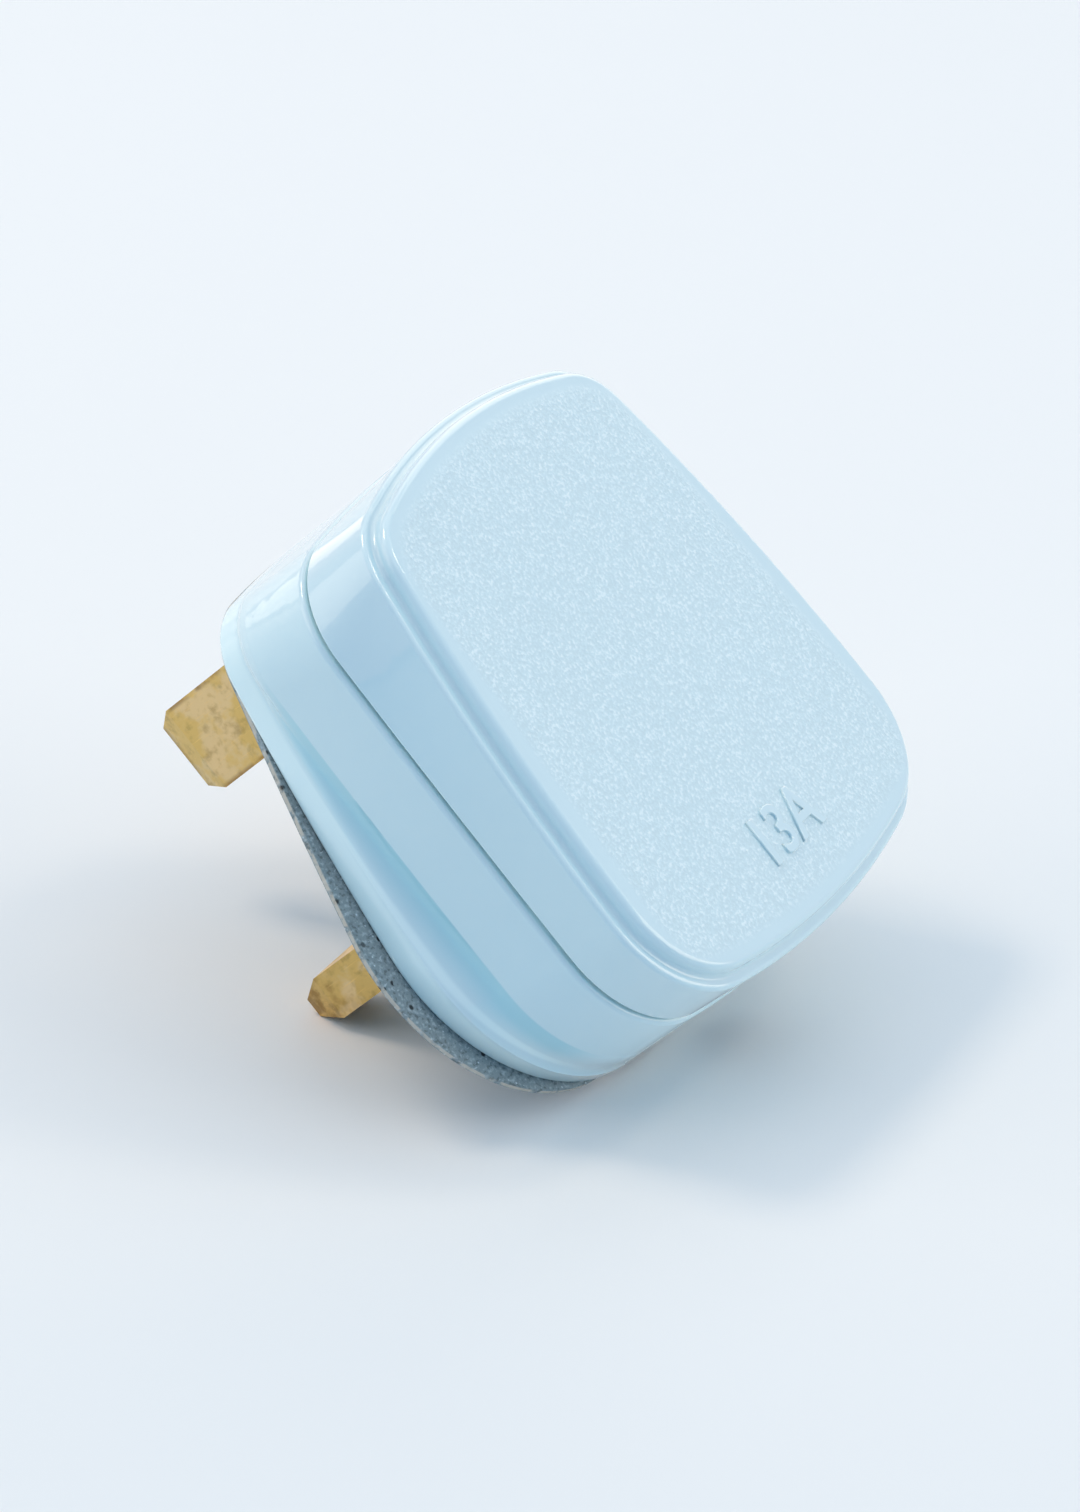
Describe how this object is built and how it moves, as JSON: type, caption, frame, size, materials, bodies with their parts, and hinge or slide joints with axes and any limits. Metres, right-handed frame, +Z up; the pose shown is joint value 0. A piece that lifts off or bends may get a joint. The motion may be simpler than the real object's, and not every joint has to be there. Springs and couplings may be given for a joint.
{
  "type": "mains plug",
  "caption": "Rewireable fused mains plug with flat rectangular pins, a scooped finger flange, a stepped cover, a cord inlet and a loose board card on the pins.",
  "frame": {"origin": "middle of the box's lower side, on the surface that the plug lies on", "axes": "+X across the plug from the neutral to the line pin, +Y level towards the earth pin, +Z up"},
  "size_m": [0.0528, 0.0604, 0.0488],
  "materials": {
    "housing": "pale blue moulding, smooth gloss sides and a fine grained top",
    "pin_brass": "tarnished bare brass",
    "sleeve": "black sleeve",
    "spring_metal": "plated spring metal",
    "fuse_ceramic": "plain ceramic tube",
    "screw_brass": "turned brass",
    "screw_steel": "zinc plated",
    "grip_plastic": "moulded",
    "washer_board": "fibre washer",
    "card": "grey recycled board"
  },
  "bodies": {
    "root": {"base": "housing", "cover": "housing", "earth_pin": "pin_brass", "neutral_pin": "pin_brass", "live_pin": "pin_brass", "live_terminal": "pin_brass", "neutral_pin_sleeve": "sleeve", "live_pin_sleeve": "sleeve", "fuse_clip_pin_side": "spring_metal", "fuse_clip_terminal_side": "spring_metal", "fuse_barrel": "fuse_ceramic", "fuse_cap_pin_side": "spring_metal", "fuse_cap_terminal_side": "spring_metal", "earth_terminal_screw": "screw_brass", "neutral_terminal_screw": "screw_brass", "live_terminal_screw": "screw_brass", "cord_grip_bar": "grip_plastic", "cord_grip_screw_left": "screw_steel", "cord_grip_screw_right": "screw_steel", "cover_screw": "screw_steel", "cover_screw_washer": "washer_board", "cover_insert": "screw_brass", "instruction_card": "card"}
  },
  "joints": []
}
